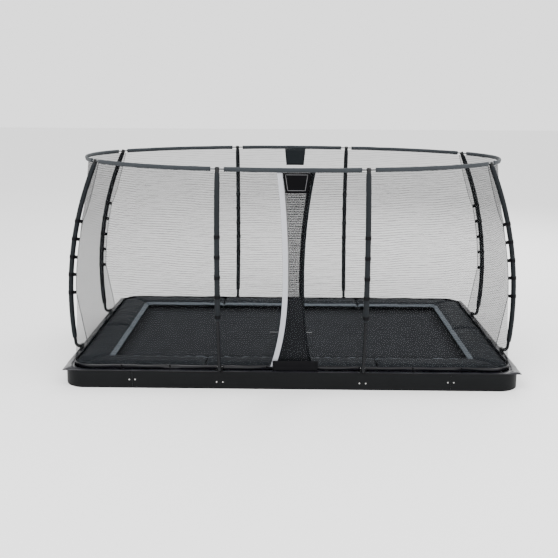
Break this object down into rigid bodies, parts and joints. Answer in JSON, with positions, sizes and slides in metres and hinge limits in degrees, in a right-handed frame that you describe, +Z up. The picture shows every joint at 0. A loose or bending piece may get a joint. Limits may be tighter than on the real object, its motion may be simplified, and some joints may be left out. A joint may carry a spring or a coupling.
{
  "type": "trampoline",
  "caption": "Rectangular in-ground trampoline with a low steel frame, padded edge, sprung mat, bowed net poles, an oval top ring and a self-closing net entrance.",
  "frame": {"origin": "middle of the frame, on the surface that the frame's lower flange stands on", "axes": "+X along the frame's length, -Y towards the entrance, +Z up"},
  "size_m": [5.414, 3.5512, 2.526],
  "materials": {
    "wall_steel": "satin",
    "bolt_zinc": "satin",
    "rail_steel": "satin",
    "spring_steel": "polished",
    "mat_fabric": "matte",
    "pad_cover": "satin",
    "skirt_cover": "gloss",
    "tie_elastic": "matte",
    "pole_steel": "gloss",
    "foam_cover": "satin",
    "cap_plastic": "satin",
    "ring_rod_steel": "polished",
    "ring_cover": "matte",
    "net_mesh": "matte",
    "net_webbing": "matte",
    "edge_light": "satin",
    "edge_dark": "satin"
  },
  "bodies": {
    "frame": {"wall_front": "wall_steel", "spring_rail_front": "rail_steel", "springs_front": "spring_steel", "pad_front": "pad_cover", "wall_back": "wall_steel", "spring_rail_back": "rail_steel", "springs_back": "spring_steel", "pad_back": "pad_cover", "wall_left": "wall_steel", "spring_rail_left": "rail_steel", "springs_left": "spring_steel", "pad_left": "pad_cover", "wall_right": "wall_steel", "spring_rail_right": "rail_steel", "springs_right": "spring_steel", "pad_right": "pad_cover", "wall_corner_front_left": "wall_steel", "wall_corner_front_right": "wall_steel", "wall_corner_back_left": "wall_steel", "wall_corner_back_right": "wall_steel", "wall_joiner_plates": "rail_steel", "wall_bolts": "bolt_zinc", "rail_struts": "rail_steel", "frame_skirt": "skirt_cover", "pad_ties": "tie_elastic", "pole_lower_tubes": "pole_steel", "pole_upper_tubes": "pole_steel", "pole_caps": "cap_plastic", "pole_saddles": "wall_steel", "pole_bracket_plates": "rail_steel", "saddle_screws": "bolt_zinc", "ring_rods": "ring_rod_steel", "ring_sleeves": "ring_cover", "ring_clamps": "cap_plastic", "net_hem": "net_webbing", "net_straps": "net_webbing", "entrance_badge": "net_webbing", "back_patch": "net_webbing", "entrance_threshold": "net_webbing", "flap_net_left": "net_mesh", "flap_net_right": "net_mesh", "foam_front_left": "foam_cover", "foam_front_right": "foam_cover", "foam_right_front": "foam_cover", "foam_right_back": "foam_cover", "foam_back_right": "foam_cover", "foam_back_left": "foam_cover", "foam_left_back": "foam_cover", "foam_left_front": "foam_cover", "net_front_right": "net_mesh", "net_right": "net_mesh", "net_back_right": "net_mesh", "net_back": "net_mesh", "net_back_left": "net_mesh", "net_left": "net_mesh", "net_front_left": "net_mesh"},
    "mat": {"jump_mat": "mat_fabric", "mat_v_rings": "spring_steel"},
    "right_flap_edge": {"flap_edge_right": "edge_light"},
    "left_flap_edge": {"flap_edge_left": "edge_dark"}
  },
  "joints": [
    {"name": "mat_bounce", "type": "slide", "parent": "frame", "child": "mat", "axis": [0, 0, 1], "range_m": [-0.4, 0], "stiffness_N_per_m": 6000, "springref_m": 0.01373, "deforming": ["springs_front", "springs_back", "springs_left", "springs_right"]},
    {"name": "right_flap_part", "type": "slide", "parent": "frame", "child": "right_flap_edge", "axis": [1, 0, 0], "range_m": [0, 0.4], "stiffness_N_per_m": 40, "deforming": ["flap_net_right"]},
    {"name": "left_flap_part", "type": "slide", "parent": "frame", "child": "left_flap_edge", "axis": [-1, 0, 0], "range_m": [0, 0.4], "stiffness_N_per_m": 40, "deforming": ["flap_net_left"]}
  ]
}
